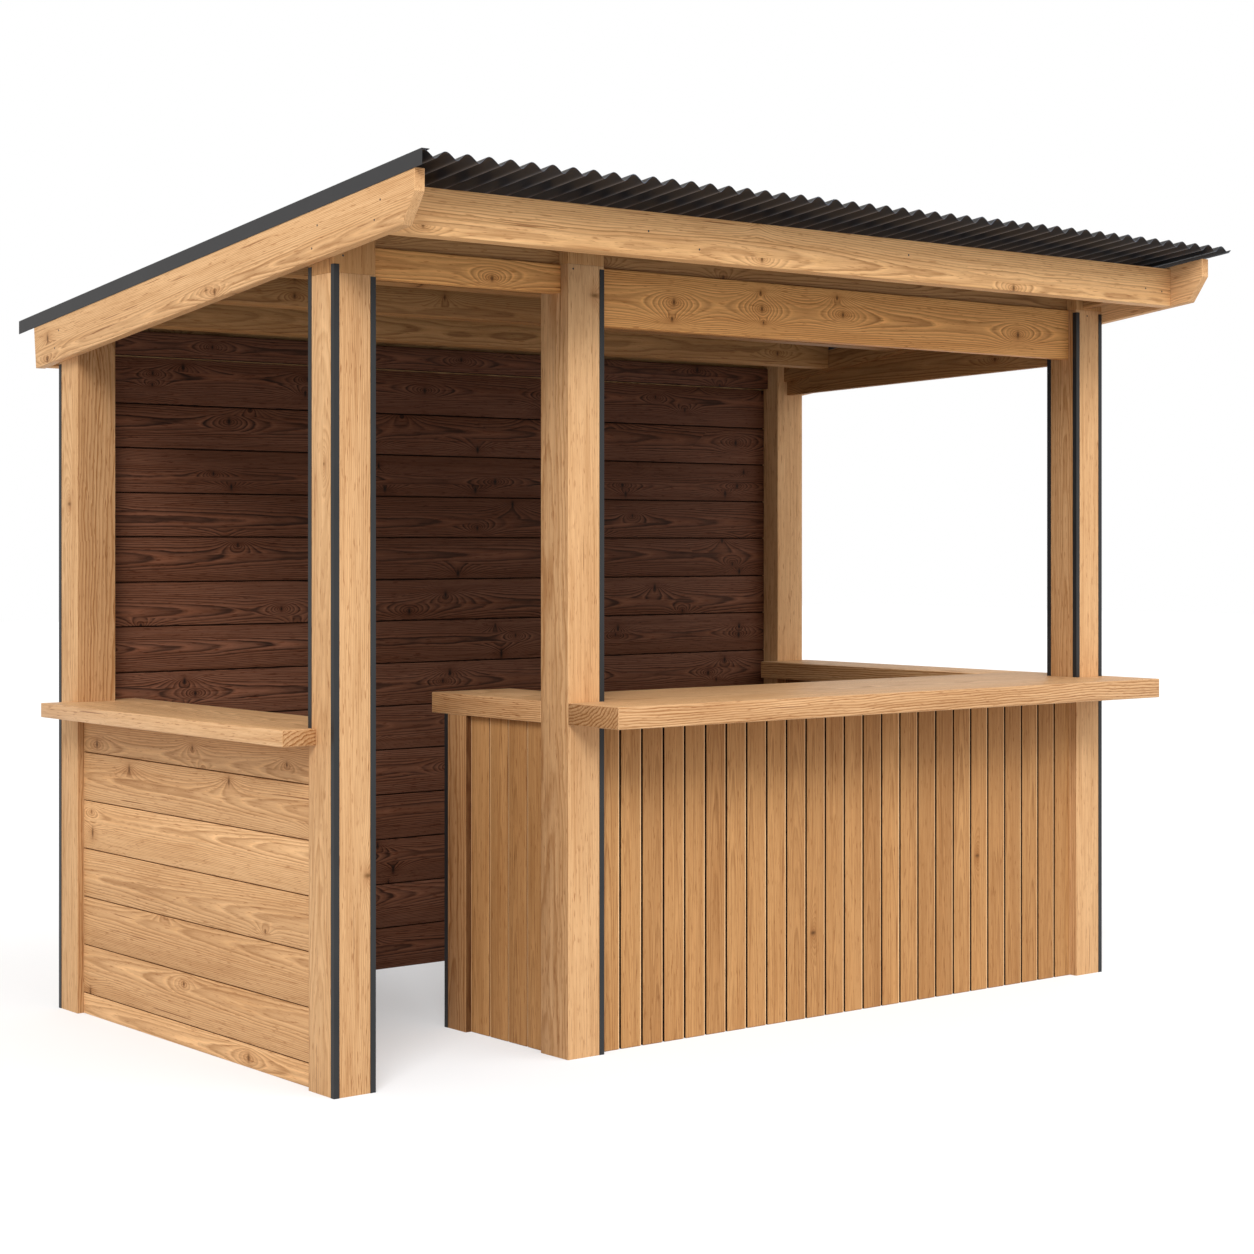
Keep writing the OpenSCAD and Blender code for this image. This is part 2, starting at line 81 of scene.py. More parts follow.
# Faces 0 and 1 form the wider rounding, which carries a painted highlight.
HIGHLIGHT_FACES = (0, 1)
# OUTER_FACES of the inner halves carry painted shade at the bottoms of the gaps, SIDE_FACES of the
# boards painted shade on the gaps' sides.
OUTER_FACES = (1, 2, 3)
SIDE_FACES = (5, 11)

# Vertices closer than this lie on the same plane, and merge when copied.
SAME_PLANE = 1e-4
SAME_PLACE = 1e-5
SHARP = math.radians(35)

# Axes of a piece: along its grain, then across it twice.
ALONG_X = ((1, 0, 0), (0, 1, 0), (0, 0, 1))
ALONG_Z = ((0, 0, 1), (1, 0, 0), (0, 1, 0))
ALONG_Y = ((0, 1, 0), (1, 0, 0), (0, 0, 1))
DOWN_ROOF = (
    (0, math.cos(ROOF_ANGLE), -math.sin(ROOF_ANGLE)),
    (1, 0, 0),
    (0, math.sin(ROOF_ANGLE), math.cos(ROOF_ANGLE)),
)


def linear(red, green, blue):
    """A colour as a screen shows it, 0 to 255, turned into linear light."""
    return tuple((c / 255 / 12.92) if c / 255 < 0.04045 else ((c / 255 + 0.055) / 1.055) ** 2.4
                 for c in (red, green, blue))


# Settings


def length_property(name, description, value, low, high):
    """A length that shows in the panel, given in millimetres."""
    return bpy.props.FloatProperty(
        name=name, description=description, default=value * MM, min=low * MM, max=high * MM,
        subtype="DISTANCE", unit="LENGTH")


def colour_property(name, description, value):
    """A colour that shows in the panel."""
    return bpy.props.FloatVectorProperty(
        name=name, description=description, subtype="COLOR", size=3, min=0, max=1,
        default=linear(*value))


class GardenBarSizes(bpy.types.PropertyGroup):
    """Sizes of the pieces that are made here"""
    ease: length_property("Eased edge", "Width of the eased edge on heavy timber", 2.5, 0, 10)
    board_ease: length_property("Board edge", "Radius of the rounded edge on a board", 2.2, 0, 10)
    gap: length_property("Counter gap", "Gap between two boards of the counter", 8, 0, 20)
    wall_gap: length_property("Wall gap", "Gap between two boards of a wall", 3.5, 0, 20)
    wave_pitch: length_property("Wave pitch", "Length of one wave of a roof sheet", 73, 40, 100)
    wave_height: length_property("Wave height", "Height from trough to crest", 22, 10, 40)
    sheet: length_property("Sheet", "Thickness of a roof sheet", 1.2, 0.3, 3)


class GardenBarColours(bpy.types.PropertyGroup):
    """Colours of the finishes"""
    timber: colour_property("Timber", "Oiled headers and boards round the roof", (230, 183, 130))
    timber_line: colour_property("Timber line", "Late wood of the timber", (158, 108, 60))
    post: colour_property("Post", "Oiled posts", (217, 175, 129))
    post_line: colour_property("Post line", "Late wood of the posts", (178, 128, 78))
    wall: colour_property("Wall", "Oiled boards of the walls and the barges", (226, 182, 134))
    cladding: colour_property("Cladding", "Oiled boards of the counter and walls", (191, 145, 95))
    cladding_line: colour_property("Cladding line", "Late wood of the boards", (140, 94, 52))
    worktop: colour_property("Worktop", "Smooth oiled worktop", (221, 180, 135))
    worktop_line: colour_property("Worktop line", "Late wood of the worktop", (176, 124, 72))
    lining: colour_property("Lining", "Dark stained boards of the back wall", (112, 74, 56))
    lining_line: colour_property("Lining line", "Late wood of the dark boards", (43, 28, 22))
    strips: colour_property("Strips", "Coated corner strips", (25, 27, 30))
    flashing: colour_property("Flashing", "Coated verge flashing", (44, 45, 48))
    roof: colour_property("Roof", "Coated roof sheets", (17, 20, 26))


# Shader maths


class Value:
    """A socket in a finish. Its operators add Math nodes."""

    def __init__(self, finish, socket):
        self.finish = finish
        self.socket = socket

    def _math(self, operation, first, second=None):
        given = {0: first} if second is None else {0: first, 1: second}
        node = self.finish.add("ShaderNodeMath", {"operation": operation}, given)
        return Value(self.finish, node.outputs[0])

    def __add__(self, other):
        return self._math("ADD", self, other)

    def __radd__(self, other):
        return self._math("ADD", other, self)

    def __sub__(self, other):
        return self._math("SUBTRACT", self, other)

    def __rsub__(self, other):
        return self._math("SUBTRACT", other, self)

    def __mul__(self, other):
        return self._math("MULTIPLY", self, other)

    def __rmul__(self, other):
        return self._math("MULTIPLY", other, self)

    def __truediv__(self, other):
        return self._math("DIVIDE", self, other)

    def __rtruediv__(self, other):
        return self._math("DIVIDE", other, self)

    def fract(self):
        return self._math("FRACT", self)

    def root(self):
        return self._math("SQRT", self)

    def exp(self):
        return self._math("EXPONENT", self)

    def angle(self, other):
        return self._math("ARCTAN2", self, other)

    def below(self, limit):
        return self._math("LESS_THAN", self, limit)

    def clamp(self):
        node = self.finish.add("ShaderNodeClamp", {}, {0: self})
        return Value(self.finish, node.outputs[0])

    def smooth(self, low, high):
        """0 below low, 1 above high and an even curve between them."""
        node = self.finish.add("ShaderNodeMapRange", {"interpolation_type": "SMOOTHSTEP"},
                               {"Value": self, "From Min": low, "From Max": high})
        return Value(self.finish, node.outputs[0])


class Finish:
    """One material, with short ways to add nodes and to read what they give."""

    def __init__(self, name):
        self.material = bpy.data.materials.new(name)
        self.material.use_nodes = True
        self.tree = self.material.node_tree
        self.tree.nodes.clear()
        self.output = self.tree.nodes.new("ShaderNodeOutputMaterial")

    def add(self, kind, settings=None, sockets=None):
        """Adds a node: first its settings, then the values or links of its sockets."""
        node = self.tree.nodes.new(kind)
        for key, value in (settings or {}).items():
            setattr(node, key, value)
        for key, value in (sockets or {}).items():
            self._feed(node.inputs[key], value)
        return node

    def _feed(self, socket, value):
        if isinstance(value, Value):
            self.tree.links.new(value.socket, socket)
        elif isinstance(value, bpy.types.NodeSocket):
            self.tree.links.new(value, socket)
        else:
            socket.default_value = value

    def value(self, node, name=0):
        return Value(self, node.outputs[name])

    def vector(self, x, y, z=0.0):
        return self.add("ShaderNodeCombineXYZ", {}, {0: x, 1: y, 2: z}).outputs[0]

    def noise(self, place, scale=1.0, detail=2.0, rough=0.5):
        """Noise from 0 to 1 at a place."""
        node = self.add("ShaderNodeTexNoise", {"noise_dimensions": "3D"},
                        {"Vector": place, "Scale": scale, "Detail": detail,
                         "Roughness": rough, "Distortion": 0.0})
        return self.value(node, "Fac")

    def mix(self, factor, first, second, kind="MIX"):
        """Colour between two others."""
        node = self.add("ShaderNodeMix", {"data_type": "RGBA", "blend_type": kind},
                        {0: factor, 6: first, 7: second})
        return node.outputs[2]

    def shader(self, settings, colour, rough, height=None, bump=0.3, reach=0.001):
        """The one shader of the finish. settings are constants on its own sockets."""
        sockets = dict(settings)
        sockets["Base Color"] = colour
        sockets["Roughness"] = rough
        if height is not None:
            relief = self.add("ShaderNodeBump", {},
                              {"Strength": bump, "Distance": reach, "Height": height})
            sockets["Normal"] = relief.outputs[0]
        node = self.add("ShaderNodeBsdfPrincipled", {}, sockets)
        self.tree.links.new(node.outputs[0], self.output.inputs[0])
        return self.material


def rgba(colour):
    """A colour property as a socket takes it."""
    return (colour[0], colour[1], colour[2], 1.0)


def tinted(colour, factor):
    """A colour made lighter or darker."""
    return tuple(min(1.0, c * factor) for c in colour)


def darkened(finish, factor, colour, tint):
    """The colour multiplied by a tint where the factor is 1."""
    return finish.mix(factor.clamp(), colour, finish.mix(1.0, colour, tint + (1.0,), "MULTIPLY"))


def timber_finish(name, base, line, ring=0.005, contrast=0.6, pale=0.4, figure=0.004,
                  wander=0.04, knots=0.4, eyes=(), fibre=1.0, rough=0.6, knot_tint=0.5,
                  ends=2.0, gleam=1.35, bulge=0.035, coat=0.0, specular=0.18, seed=0.0):
    """Sawn timber as a solid texture. The attribute grain holds a place in the trunk in
    metres: along it, and across it from the pith. Growth rings are shells round the
    pith; they taper along the trunk, wander with noise and bulge round the branches.
    eyes lists branches one by one: their place along and up the board, and their size. ends
    is how much wider the rings of the sawn ends are drawn."""
    f = Finish(name)
    grain = f.add("ShaderNodeAttribute", {"attribute_name": "grain"})
    parts = f.add("ShaderNodeSeparateXYZ", {}, {0: grain.outputs["Vector"]})
    along, across, deep = (f.value(parts, i) for i in range(3))
    tone = f.value(f.add("ShaderNodeAttribute", {"attribute_name": "tone"}), "Fac")
    # Darkens the sawn ends, as end grain, and paints shade on chosen faces.
    end_grain_and_painted_shade = f.value(f.add("ShaderNodeAttribute", {"attribute_name": "end_grain_and_painted_shade"}), "Fac")

    drift = f.noise(f.vector(along * 1.1 + seed, across * 5, deep * 5), detail=2.0)
    sway = f.noise(f.vector(along * 0.7 + 7.3 + seed, across * 3, deep * 3), detail=1.0)
    v = across + (drift - 0.5) * wander
    w = deep + (sway - 0.5) * wander
    radius = (v * v + w * w).root()
    turn = w.angle(v)

    # branches: cells over the trunk's length and the angle round the pith
    step_a, step_t = 1.7, 1.5
    cells = f.add("ShaderNodeTexVoronoi", {"voronoi_dimensions": "2D", "feature": "F1"},
                  {"Vector": f.vector(along * step_a + seed, turn * step_t), "Scale": 1.0,
                   "Randomness": 0.8})
    centre = f.add("ShaderNodeSeparateXYZ", {}, {0: cells.outputs["Position"]})
    chance = f.add("ShaderNodeSeparateColor", {}, {0: cells.outputs["Color"]})
    there = f.value(chance, 0).below(knots)
    size = f.value(chance, 1) * 0.7 + 0.6
    off_a = (along * step_a + seed - f.value(centre, 0)) / step_a / size
    off_t = (turn * step_t - f.value(centre, 1)) / step_t * radius / size

    def fall(a, b, pointed):
        """1 at the middle, falling off as a bell, or as a pointed cone."""
        far = a * a + b * b
        return ((far.root() if pointed else far) * -1.0).exp()

    def spot(length, width, pointed=False):
        """1 at a branch, falling off over a length and a width."""
        total = fall(off_a / length, off_t / width, pointed) * there
        for place, height, scale in eyes:
            total = total + fall((along - place) / (length * scale),
                                 (deep - height) / (width * scale), pointed)
        return total

    ripple = f.noise(f.vector(along * 6, across * 26, deep * 26), detail=3.0)
    field = radius + along * 0.010 - spot(0.055, 0.028, True) * bulge
    field = (field + (ripple - 0.5) * figure * (end_grain_and_painted_shade * 3.0 + 1.0)) / (end_grain_and_painted_shade * ends + 1.0) / ring
    phase = field.fract()
    strength = f.noise(f.vector(field * 0.45, 0.0, 0.0), detail=1.0)
    late = phase.smooth(0.45, 0.85) * (1.0 - phase.smooth(0.88, 1.0)) * (strength * 2.2 - 0.25)
    early = phase.smooth(0.0, 0.1) * (1.0 - phase.smooth(0.1, 0.4)) * (strength * 2.0 - 0.2)
    knot = spot(0.0055, 0.010)

    fine = f.noise(f.vector(along * 14, across * 420, deep * 420), detail=3.0, rough=0.6)
    hair = f.noise(f.vector(along * 4, across * 170, deep * 170), detail=3.0, rough=0.65)
    streak = f.noise(f.vector(along * 1.6, across * 55, deep * 55), detail=3.0, rough=0.6)
    cloud = f.noise(f.vector(along * 1.3 + 3.1, across * 9, deep * 9), detail=2.0)
    fleck = f.noise(f.vector(along * 22 + 5.0, across * 240, deep * 240), detail=2.0)
    crack = f.noise(f.vector(along * 2.4 + 9.0, across * 120, deep * 120), detail=1.0)

    colour = f.mix((late * contrast * (1.0 + end_grain_and_painted_shade * 2.0)).clamp(), rgba(base), rgba(line))
    colour = f.mix((early * pale).clamp(), colour, rgba(tinted(base, gleam)))
    colour = f.mix(((0.47 - hair) * 2.2 * fibre).clamp(), colour, rgba(tinted(base, 1.14)))
    colour = darkened(f, (hair - 0.5) * 2.6 * fibre, colour, (0.74, 0.63, 0.52))
    colour = darkened(f, (fine - 0.5) * 2.2 * fibre, colour, (0.74, 0.65, 0.56))
    colour = darkened(f, (streak - 0.47) * 2.2 * fibre, colour, (0.76, 0.67, 0.57))
    colour = darkened(f, (cloud - 0.45) * 1.6, colour, (0.80, 0.72, 0.63))
    colour = darkened(f, fleck.smooth(0.60, 0.72) * 0.7 * fibre, colour, (0.58, 0.44, 0.33))
    colour = darkened(f, crack.smooth(0.74, 0.78) * 0.8, colour, (0.42, 0.30, 0.22))
    colour = darkened(f, spot(0.032, 0.018) * 0.6, colour, (0.62, 0.48, 0.36))
    colour = f.mix((knot * 1.1).clamp(), colour, rgba(tinted(line, knot_tint)))
    colour = f.mix(tone, f.mix(1.0, colour, (0.80, 0.76, 0.72, 1.0), "MULTIPLY"), colour)
    # Painted shade on chosen faces and darker sawn ends; above 1 the painted shade goes darker
    # still.
    colour = darkened(f, end_grain_and_painted_shade, colour, (0.60, 0.52, 0.44))
    colour = darkened(f, end_grain_and_painted_shade - 1.0, colour, (0.35, 0.29, 0.23))

    roughness = rough + (fine - 0.5) * 0.16 + late * 0.05
    height = fine * 0.4 + hair * 0.4 - late * 0.3 - knot * 0.4
    return f.shader({"Specular IOR Level": specular, "Coat Weight": coat, "Coat Roughness": 0.35},
                    colour, roughness, height, bump=0.4, reach=0.0012)


def coated_metal(name, colour, rough=0.5, speckle=0.12, dust=0.2, specular=0.45, sheen=(1, 1, 1),
                 ridge=None):
    """Coated sheet metal: an even colour with a fine grain, faint dust, and wear in its roughness
    and relief. ridge is the place of a crest and the pitch of a corrugated sheet, which gets a
    painted highlight along its troughs: exp(-(phase - 1/2)^2 * 240)."""
    f = Finish(name)
    place = f.add("ShaderNodeTexCoord").outputs["Object"]
    fine = f.noise(place, scale=900.0, detail=2.0)
    cloud = f.noise(place, scale=3.5, detail=4.0, rough=0.6)
    rub = f.noise(place, scale=38.0, detail=4.0, rough=0.7)
    light = tinted([c + 0.02 for c in colour], 1.5)
    shown = f.mix(((cloud - 0.4) * dust * 3).clamp(), rgba(colour), rgba(light))
    shown = f.mix(((fine - 0.5) * speckle + 0.1).clamp(), shown, rgba(tinted(light, 1.3)))
    # Painted highlight along the troughs of a corrugated sheet.
    if ridge:
        axes = f.add("ShaderNodeSeparateXYZ", {}, {0: place})
        far = ((f.value(axes, 0) - ridge[0]) / ridge[1]).fract() - 0.5
        shown = f.mix((far * far * -240.0).exp() * (cloud * 0.5 + 0.45), shown,
                      rgba(tinted(light, 3.2)))
    roughness = rough + (cloud - 0.5) * 0.18 + (rub - 0.5) * 0.1
    height = fine * 0.4 + rub * 0.6
    return f.shader({"Specular IOR Level": specular, "Specular Tint": rgba(sheen)}, shown,
                    roughness, height, bump=0.12, reach=0.0006)


FINISHES = {}

# Branches that show in the headers: from the header's left end, height and size.
ENTRANCE_EYES = ((0.442, 2.394, 0.9),)
SERVING_EYES = ((0.316, 2.367, 1.1), (0.308, 2.312, 0.9), (0.695, 2.368, 1.0), (0.689, 2.420, 0.8),
                (0.702, 2.323, 0.6), (1.065, 2.370, 0.9), (1.037, 2.426, 0.8), (1.941, 2.349, 1.2))


def make_finishes(sizes, colours):
    """Makes each finish once."""
    eyes = {}
    for node, places in (("header_entrance", ENTRANCE_EYES), ("header_serving", SERVING_EYES)):
        low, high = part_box(node)
        eyes[node] = [(a, z - (low.z + high.z) / 2, size) for a, z, size in places]
    header = dict(ring=0.0042, contrast=0.55, pale=0.9, figure=0.003, wander=0.012, knots=0.0)
    header_base, header_line = linear(225, 168, 104), linear(146, 94, 50)
    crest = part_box("roof_sheets_under")[0].x + FIRST_CREST
    FINISHES.update({
        "timber": timber_finish("oiled_timber", colours.timber, colours.timber_line,
                                contrast=0.5, pale=0.5, knots=0.25),
        "post": timber_finish("oiled_posts", colours.post, colours.post_line, ring=0.004,
                              contrast=0.4, pale=0.3, figure=0.005, knots=0.06, fibre=1.2,
                              seed=3.9),
        "entrance": timber_finish("entrance_header", header_base, header_line,
                                  eyes=eyes["header_entrance"], seed=0.4, **header),
        "serving": timber_finish("serving_header", header_base, header_line,
                                 eyes=eyes["header_serving"], seed=1.9, **header),
        # A darker copy of the cladding: painted shade on the timber under the roof.
        "roof_timber": timber_finish("shaded_roof_timber", tinted(colours.cladding, 0.84),
                                     tinted(colours.cladding_line, 0.72), seed=1.3),
        "wall": timber_finish("oiled_wall_boards", colours.wall, colours.timber_line,
                              ring=0.004, contrast=0.45, pale=0.7, knots=0.35, figure=0.003,
                              wander=0.025, bulge=0.02, seed=6.2),
        "cladding": timber_finish("oiled_cladding", colours.cladding, colours.cladding_line,
                                  ring=0.004, contrast=0.4, pale=0.25, knots=0.02, fibre=1.1,
                                  seed=2.7),
        # A paler copy of the worktop: painted highlight on one rounding of each counter board.
        "arris": timber_finish("painted_highlight_arris", tinted(colours.worktop, 1.15), colours.worktop_line,
                               contrast=0.2, knots=0.0, fibre=0.6),
        "worktop": timber_finish("oiled_worktop", colours.worktop, colours.worktop_line,
                                 ring=0.0032, contrast=0.65, pale=0.6, figure=0.006,
                                 wander=0.05, knots=0.03, fibre=1.2, ends=3.2, rough=0.42,
                                 coat=0.08, seed=5.1),
        "lining": timber_finish("dark_lining", colours.lining, colours.lining_line,
                                ring=0.004, contrast=0.85, pale=0.65, gleam=1.8, figure=0.004,
                                wander=0.03, knots=0.6, fibre=1.7, bulge=0.03, specular=0.12,
                                seed=8.4),
        # Near black: painted shade on the sides and bottoms of the gaps between the counter's
        # front and right boards, and at the bottoms of the lining's joints.
        "backing": coated_metal("near_black_painted_gap_shade", linear(20, 9, 5), rough=0.9, speckle=0.02,
                                dust=0.0, specular=0.05),
        # Brown: painted shade at the bottoms of the light walls' joints, and on the sides and
        # bottoms of the gaps between the counter's left boards.
        "brown_painted_shade": coated_metal("brown_painted_gap_shade", linear(104, 68, 38), rough=0.9,
                                     specular=0.1),
        "strips": coated_metal("coated_strips", colours.strips, rough=0.5, specular=0.35),
        "flashing": coated_metal("coated_flashing", colours.flashing, rough=0.5,
                                 specular=0.35),
        "roof": coated_metal("coated_roof", colours.roof, rough=0.42, dust=0.3, specular=0.38,
                             sheen=(0.84, 0.93, 1.0), ridge=(crest, sizes.wave_pitch)),
        "roof_edge": coated_metal("cut_roof_edge", tinted(colours.roof, 11.0), rough=0.4),
        "nail": coated_metal("dull_nail", linear(62, 52, 44), rough=0.5),
    })


# Mesh building


def new_piece(name, mesh, finish, replaced):
    """Puts a finished mesh into the scene as a piece of the bar."""
    piece = bpy.data.objects.new(name, mesh)
    bpy.context.scene.collection.objects.link(piece)
    if not mesh.materials:
        mesh.materials.append(FINISHES[finish])
    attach(piece, "root")
    if replaced:
        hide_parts(*replaced)
    return piece


def islands(count, edges):
    """Number of the loose part that each vertex is in. Every edge hands the smaller of
    its two numbers on, until none changes."""
    label = np.arange(count)
    while True:
        low = np.minimum(label[edges[:, 0]], label[edges[:, 1]])
        new = label.copy()
        np.minimum.at(new, edges[:, 0], low)
        np.minimum.at(new, edges[:, 1], low)
        new = new[new]
        if np.array_equal(new, label):
            return np.unique(label, return_inverse=True)[1]
        label = new


def put_grain(mesh, grain, tone, end_grain_and_painted_shade):
    """Stores each vertex's place in the trunk, its tone, and its darkening: end grain and painted
    shade.
    """
    mesh.attributes.new("grain", "FLOAT_VECTOR", "POINT").data.foreach_set(
        "vector", np.ascontiguousarray(grain, np.float32).ravel())
    mesh.attributes.new("tone", "FLOAT", "POINT").data.foreach_set(
        "value", np.ascontiguousarray(tone, np.float32))
    mesh.attributes.new("end_grain_and_painted_shade", "FLOAT", "POINT").data.foreach_set(
        "value", np.ascontiguousarray(end_grain_and_painted_shade, np.float32))


def end_grain(local, label, amount=0.75):
    """The amount at the vertices of both sawn ends of each loose part, and 0 elsewhere."""
    count = label.max() + 1
    low = np.array([local[label == i, 0].min() for i in range(count)])[label]
    high = np.array([local[label == i, 0].max() for i in range(count)])[label]
    at_end = (local[:, 0] < low + SAME_PLANE) | (local[:, 0] > high - SAME_PLANE)
    return np.where(at_end, amount, 0.0)


def trunk_places(local, label, rng, pith, centred=False):
    """Place in the trunk of each vertex: local places run along and across a piece, and
    each loose part gets its own stretch of trunk and its own pith, which lies at about
    the distance pith outside its thinner side. A centred piece starts at 0 along the
    trunk, with the pith behind its middle."""
    count = label.max() + 1
    low = np.array([local[label == i].min(0) for i in range(count)])
    high = np.array([local[label == i].max(0) for i in range(count)])
    size = high - low
    thin = np.where(size[:, 1] <= size[:, 2], 1, 2)
    shift = np.zeros((count, 3))
    shift[:, 0] = rng.uniform(0, 40, count)
    side = rng.choice([-1.0, 1.0], count)
    for i in range(count):
        wide = 3 - thin[i]
        shift[i, thin[i]] = side[i] * (size[i, thin[i]] / 2 + pith * rng.uniform(0.5, 1.3))
        shift[i, wide] = rng.uniform(-0.3, 0.3) * size[i, wide]
        if centred:
            shift[i] = 0
            shift[i, thin[i]] = -size[i, thin[i]] / 2 - pith
    centre = (low + high) / 2
    centre[:, 0] = low[:, 0]
    return local - centre[label] + shift[label]


def eased_copy(node, axes, finish, seed, ease, pith=0.05, centred=False, shade=(),
               darkest=0.35):
    """A copy of a CAD node with eased edges. Its triangles are merged into flat faces,
    and each edge between two faces gets a narrow rounded strip. shade paints shade on
    outer faces by darkening them: each entry is the local axis, -1 or 1 for its side, and
    how much, above 1 darker still. The tone of each loose part lies between darkest and 1."""
    mesh = NODES[node].data.copy()
    mesh.name = node + "_eased"
    mesh.materials.clear()
    solid = bmesh.new()
    solid.from_mesh(mesh)
    bmesh.ops.remove_doubles(solid, verts=solid.verts, dist=SAME_PLACE)
    bmesh.ops.dissolve_limit(solid, angle_limit=math.radians(1), verts=solid.verts,
                             edges=solid.edges)
    sharp = [e for e in solid.edges if e.is_manifold and e.calc_face_angle(0) > math.radians(20)]
    bmesh.ops.bevel(solid, geom=sharp, offset=ease, offset_type="OFFSET", segments=2,
                    profile=0.6, affect="EDGES", clamp_overlap=True)
    bmesh.ops.triangulate(solid, faces=[g for g in solid.faces if len(g.verts) > 4])
    solid.to_mesh(mesh)
    solid.free()
    for attribute in list(mesh.attributes):
        if attribute.name.startswith(("UVMap", "Color", "Col")):
            mesh.attributes.remove(attribute)
    places = np.zeros(len(mesh.vertices) * 3, np.float32)
    mesh.vertices.foreach_get("co", places)
    edges = np.zeros(len(mesh.edges) * 2, np.int64)
    mesh.edges.foreach_get("vertices", edges)
    label = islands(len(mesh.vertices), edges.reshape(-1, 2))
    rng = np.random.default_rng(seed)
    local = places.reshape(-1, 3).astype(float) @ np.array(axes).T
    grain = trunk_places(local, label, rng, pith, centred)
    end_grain_and_painted_shade = end_grain(local, label)
    # Painted shade on the chosen outer faces.
    for axis, side, amount in shade:
        far = local[:, axis] * side
        end_grain_and_painted_shade = np.maximum(end_grain_and_painted_shade, np.where(far > far.max() - SAME_PLANE, amount, 0.0))
    put_grain(mesh, grain, rng.uniform(darkest, 1.0, label.max() + 1)[label], end_grain_and_painted_shade)
    mesh.shade_smooth()
    mesh.set_sharp_from_angle(angle=SHARP)
    return new_piece(node + "_piece", mesh, finish, [node])


def rounded_section(width, thick, radius, steps=2):
    """Closed outline of a board's section: a rectangle from 0 to width and 0 to thick
    whose corners are quarter circles."""
    turn = np.linspace(0, math.pi / 2, steps + 1)
    quarter = np.stack([np.cos(turn), np.sin(turn)], 1) * radius
    spin = np.array([[0, -1], [1, 0]])
    corners = [(width - radius, thick - radius), (radius, thick - radius),
               (radius, radius), (width - radius, radius)]
    rows = []
    for corner in corners:
        rows.append(quarter + corner)
        quarter = quarter @ spin.T
    return np.concatenate(rows)


def planks(starts, widths, length, thick, radius, axes, origin, rng, highlight_widening=0.0):
    """Boards side by side: each is its rounded section carried straight along, drawn in
    by the radius at both ends, and set back by up to 0.3 mm. One outer rounding is wider by the
    given widening, for a painted highlight. Returns places, faces, each place's board and local
    places."""
    along, across, out = (np.array(a, float) for a in axes)
    all_local, faces, label = [], [], []
    base = 0
    for i, (start, width) in enumerate(zip(starts, widths)):
        section = rounded_section(width, thick, radius)
        section[2, 0] -= highlight_widening
        middle = np.array([width / 2, thick / 2])
        small = middle + (section - middle) * (1 - 2 * radius / np.array([width, thick]))
        stops = [(0, small), (radius, section), (length - radius, section), (length, small)]
        n = len(section)
        local = np.concatenate([
            np.column_stack([np.full(n, a), s[:, 0] + start, s[:, 1]]) for a, s in stops])
        local[:, 2] -= rng.uniform(0, 0.3 * MM)
        ring = np.arange(n)
        nxt = (ring + 1) % n
        for k in range(3):
            low, high = base + k * n, base + (k + 1) * n
            faces += np.column_stack([low + ring, low + nxt, high + nxt, high + ring]).tolist()
        faces.append((base + ring[::-1]).tolist())
        faces.append((base + 3 * n + ring).tolist())
        all_local.append(local)
        label.append(np.full(4 * n, i))
        base += 4 * n
    local = np.concatenate(all_local)
    places = np.array(origin) + local[:, :1] * along + local[:, 1:2] * across + local[:, 2:] * out
    return places, faces, np.concatenate(label), local


def boards_mesh(name, boards, axes, rng, pith, finishes, chosen):
    """Mesh of the boards that planks gives, each with its own place in a trunk. chosen
    holds, for each further finish, the faces round the section that get it."""
    places, faces, label, local = boards
    if np.dot(np.cross(axes[0], axes[1]), axes[2]) < 0:
        faces = [face[::-1] for face in faces]
    mesh = bpy.data.meshes.new(name)
    mesh.from_pydata(places.tolist(), [], faces)
    mesh.update()
    count = label.max() + 1
    grain = trunk_places(local, label, rng, pith)
    put_grain(mesh, grain, rng.uniform(0.0, 1.0, count)[label], end_grain(local, label))
    around = np.zeros(SECTION_FACES, np.int32)
    for number, places_round in enumerate(chosen, 1):
        around[list(places_round)] = number
    for finish in finishes:
        mesh.materials.append(FINISHES[finish])
    one = np.concatenate([around, around, around, [0, 0]])
    mesh.polygons.foreach_set("material_index", np.tile(one, count))
    mesh.shade_smooth()
    mesh.set_sharp_from_angle(angle=SHARP)
    return mesh


